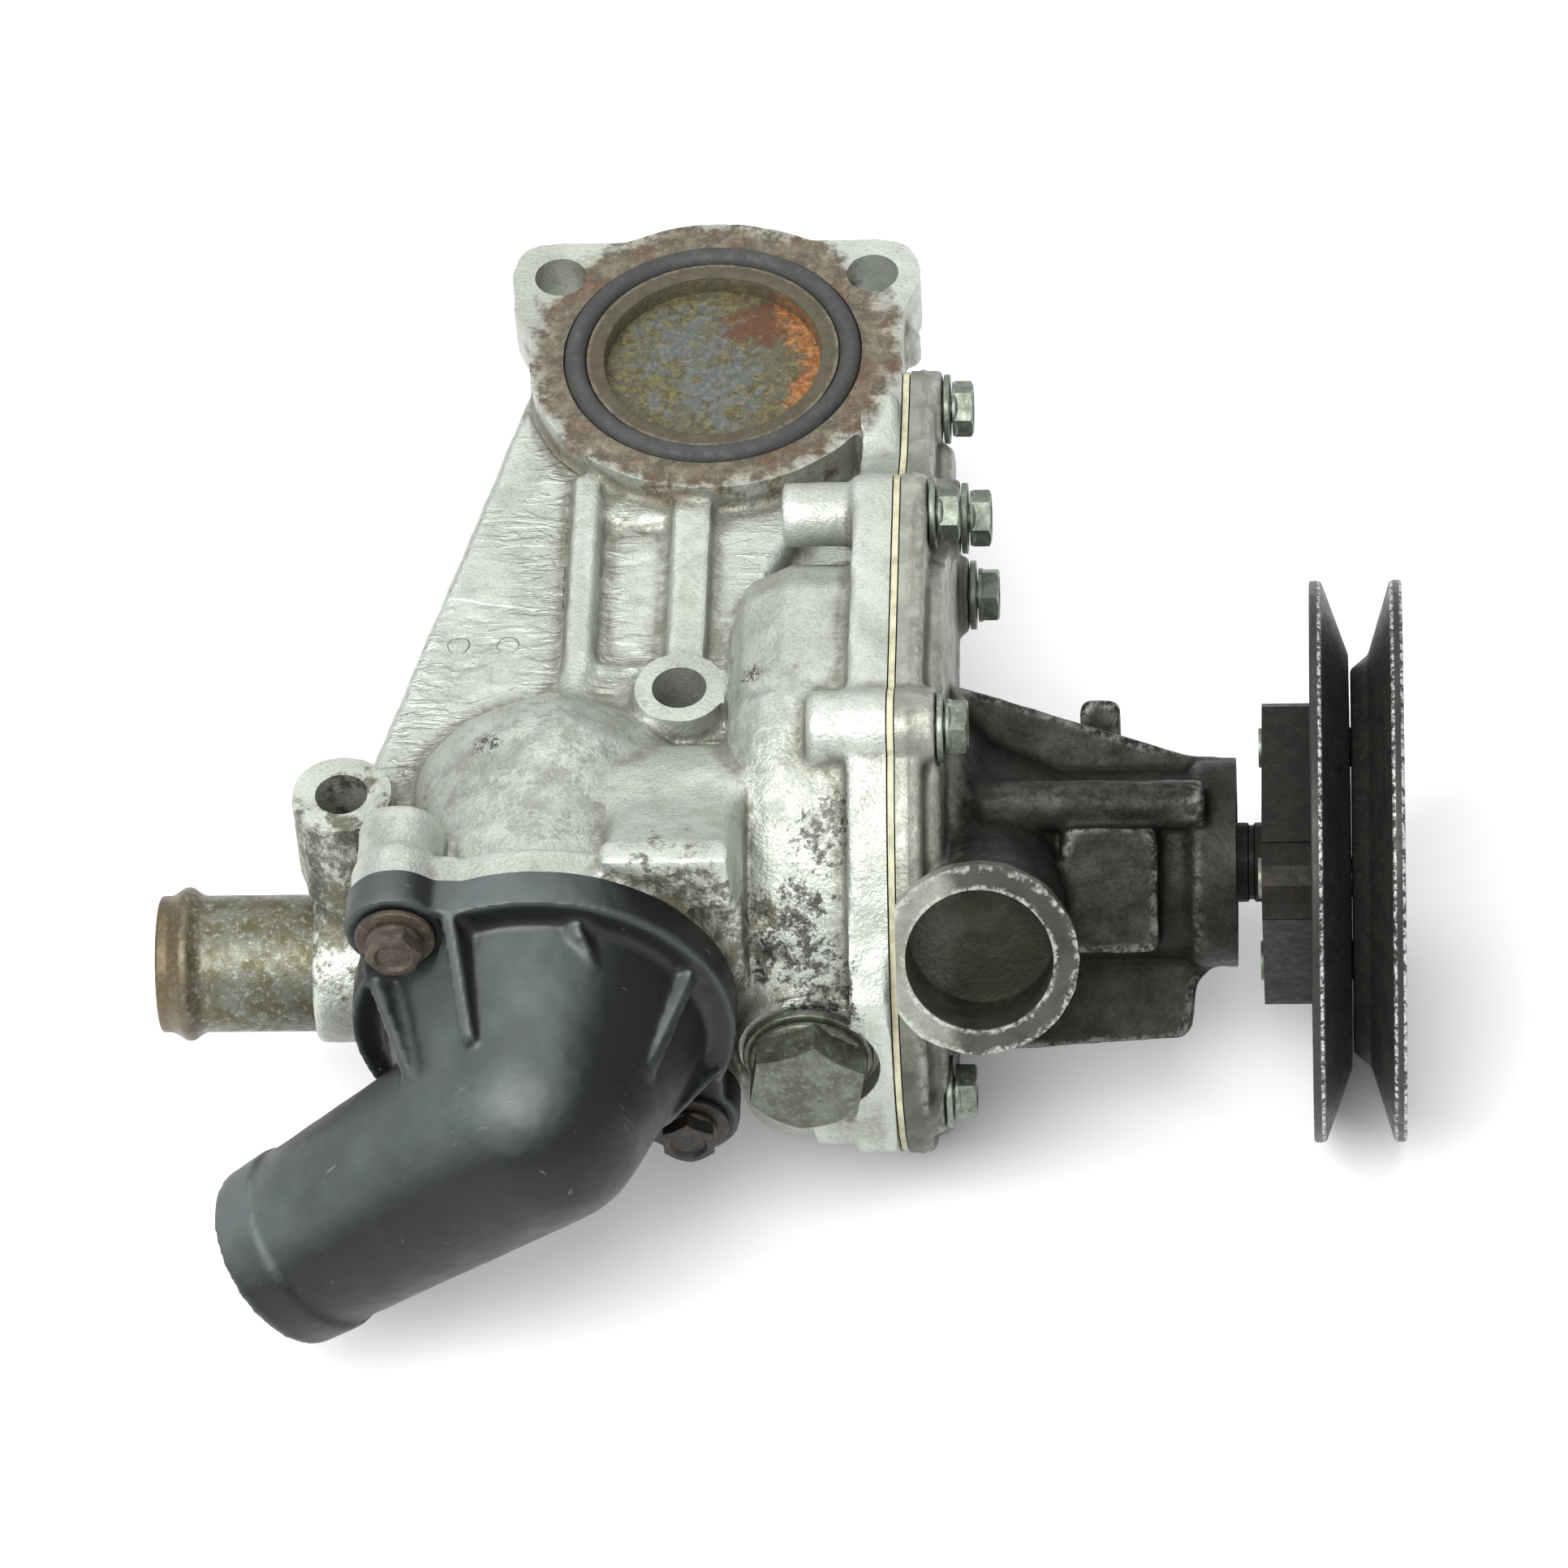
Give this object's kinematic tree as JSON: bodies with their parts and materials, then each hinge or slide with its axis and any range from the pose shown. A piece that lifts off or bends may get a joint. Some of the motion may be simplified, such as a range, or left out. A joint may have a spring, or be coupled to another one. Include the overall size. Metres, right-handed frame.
{
  "type": "engine water pump",
  "caption": "Belt-driven engine water pump with cast housing, thermostat and elbow cover, heater pipe stub and V-belt pulley that turns on its shaft.",
  "frame": {"origin": "centre of the round port that seals on the engine block, on the sealing face", "axes": "+Z out of the sealing face towards the engine block, +X along the pump shaft to the pulley, -Y to the thermostat cover"},
  "size_m": [0.2493, 0.2474, 0.1159],
  "materials": {
    "cast_aluminium": "sand-cast, grey with grime and rust stains round the port",
    "dark_cast_aluminium": "sand-cast, darkened olive grey with oily grime",
    "black_plastic": "moulded, scuffed, with a soft sheen",
    "rubber_seal": "matt, dusty",
    "gasket_paper": "pale fibre gasket edge, oil stained",
    "zinc_steel": "zinc plated, dull green-grey patina",
    "rusty_steel": "rusted brown",
    "bronze_plug": "tarnished bronze with pale verdigris edges",
    "passivated_steel": "yellow passivated, mottled, rust at the mouth",
    "dark_steel": "dark brown-black oxide",
    "pulley_steel": "dark painted steel, worn bright at the rims",
    "bright_steel": "ground",
    "spring_steel": "drawn wire",
    "thermostat_brass": "stamped, dull"
  },
  "bodies": {
    "casing": {"housing": "cast_aluminium", "port_o_ring": "rubber_seal", "heater_stub": "passivated_steel", "drain_plug": "bronze_plug", "drain_plug_seal": "bronze_plug", "thermostat_seal_ring": "rubber_seal", "thermostat_frame": "thermostat_brass", "thermostat_spring": "spring_steel", "thermostat_cover": "black_plastic", "cover_washer_1": "rusty_steel", "cover_bolt_1": "rusty_steel", "cover_washer_2": "rusty_steel", "cover_bolt_2": "rusty_steel", "pump_gasket": "gasket_paper", "pump_body": "dark_cast_aluminium", "pump_washer_1": "zinc_steel", "pump_bolt_1": "zinc_steel", "pump_washer_2": "zinc_steel", "pump_bolt_2": "zinc_steel", "pump_washer_3": "zinc_steel", "pump_bolt_3": "zinc_steel", "pump_washer_4": "zinc_steel", "pump_bolt_4": "zinc_steel", "pump_washer_5": "zinc_steel", "pump_bolt_5": "zinc_steel", "pump_washer_6": "zinc_steel", "pump_bolt_6": "zinc_steel", "pump_washer_7": "zinc_steel", "pump_bolt_7": "zinc_steel", "shaft_bearing": "bright_steel", "shaft_seal": "dark_steel"},
    "rotor": {"pump_shaft": "dark_steel", "impeller": "dark_cast_aluminium", "seal_counter_ring": "bright_steel", "drive_hub": "dark_steel", "pulley_inner_half": "pulley_steel", "pulley_outer_half": "pulley_steel", "pulley_bolt_1": "zinc_steel", "pulley_bolt_2": "zinc_steel", "pulley_bolt_3": "zinc_steel"},
    "thermostat_valve": {"thermostat_valve": "thermostat_brass"}
  },
  "joints": [
    {"name": "rotor_spin", "type": "hinge", "parent": "casing", "child": "rotor", "pos_m": [0, -0.1076, -0.038], "axis": [1, 0, 0], "continuous": true},
    {"name": "thermostat_opening", "type": "slide", "parent": "casing", "child": "thermostat_valve", "axis": [0, 1, 0], "range_m": [0, 0.008], "stiffness_N_per_m": 4000, "springref_m": -0.004, "deforming": ["thermostat_spring"]}
  ]
}
